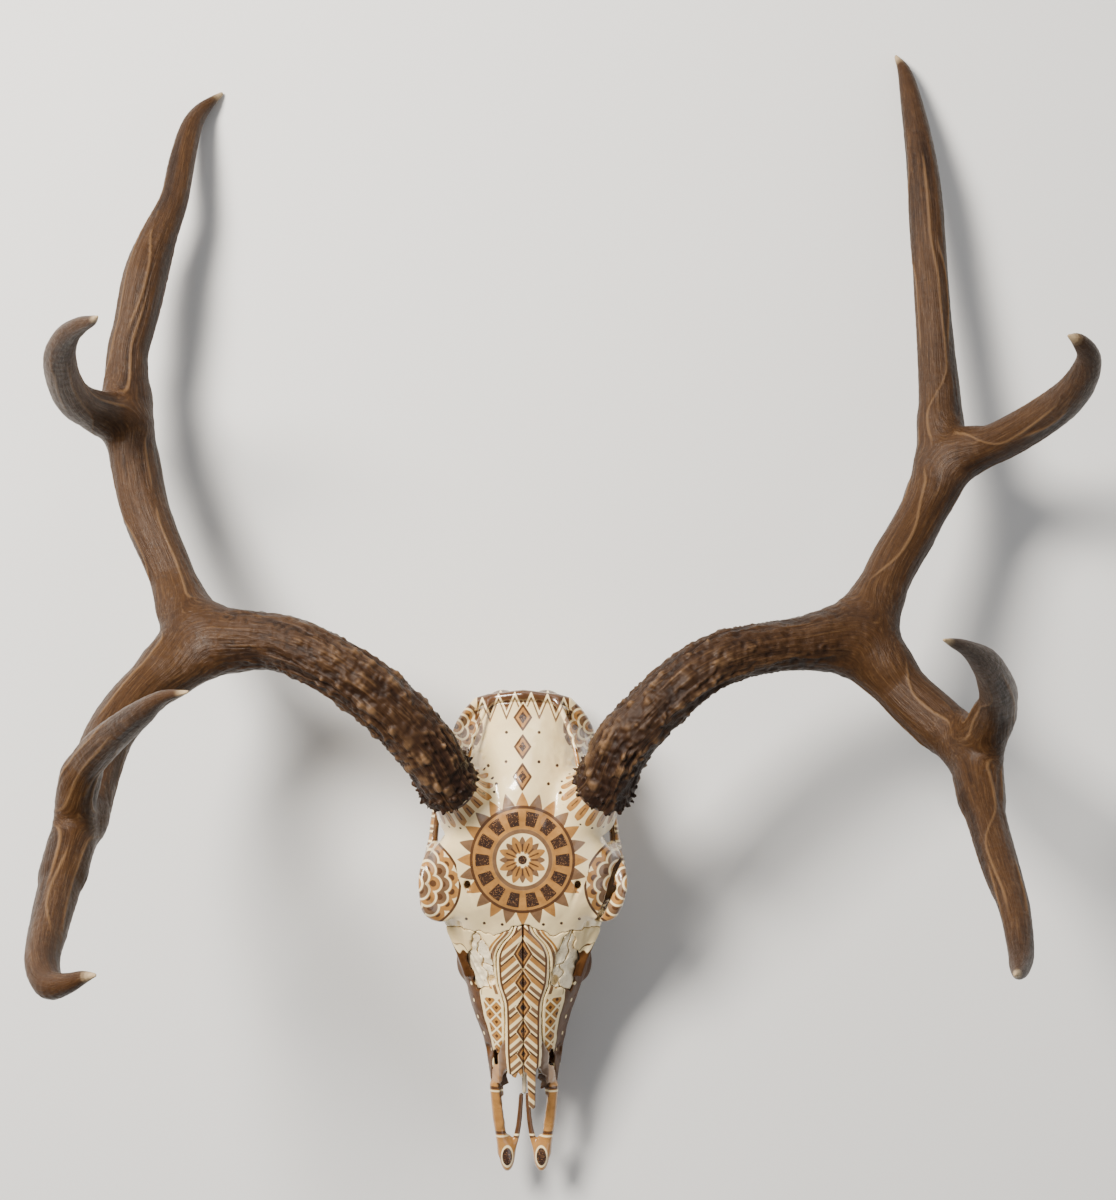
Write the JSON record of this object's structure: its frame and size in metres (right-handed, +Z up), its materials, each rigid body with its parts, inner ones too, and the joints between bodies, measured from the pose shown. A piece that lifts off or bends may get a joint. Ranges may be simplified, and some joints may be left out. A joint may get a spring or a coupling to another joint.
{
  "type": "painted deer skull",
  "caption": "Deer skull without a lower jaw, with branching antlers and a glossy painted face, lying on its cheek teeth and rear tine tips as a still museum model.",
  "frame": {"origin": "centre of the bounding box's bottom face, on the ground under the whole skull and antlers", "axes": "+X the animal's left side, +Y from the nose to the back of the head, +Z up"},
  "size_m": [0.5892, 0.6872, 0.3652],
  "materials": {
    "painted_bone": "bone painted ivory under a glossy clear coat",
    "bare_bone": "bare cream bone, matt",
    "enamel": "worn tooth enamel",
    "antler_base": "dark brown antler, pearled and lacquered",
    "antler_shaft": "brown antler, grooved and lacquered",
    "antler_tine": "brown antler worn pale at the tip, lacquered"
  },
  "bodies": {
    "root": {"cranium": "painted_bone", "maxilla_l": "painted_bone", "maxilla_r": "painted_bone", "premaxilla_l": "painted_bone", "premaxilla_r": "painted_bone", "nasal_l": "painted_bone", "nasal_r": "painted_bone", "zygomatic_l": "painted_bone", "zygomatic_r": "painted_bone", "chamber_plate_l": "bare_bone", "chamber_plate_r": "bare_bone", "vomer": "bare_bone", "cheek_teeth_l": "enamel", "cheek_teeth_r": "enamel", "beam_l": "antler_base", "beam_r": "antler_base", "rear_branch_l": "antler_shaft", "rear_branch_r": "antler_shaft", "front_branch_l": "antler_shaft", "front_branch_r": "antler_shaft", "long_tine_l": "antler_tine", "long_tine_r": "antler_tine", "hook_tine_l": "antler_tine", "hook_tine_r": "antler_tine", "front_tine_l": "antler_tine", "front_tine_r": "antler_tine", "upper_tine_l": "antler_tine", "upper_tine_r": "antler_tine"}
  },
  "joints": []
}
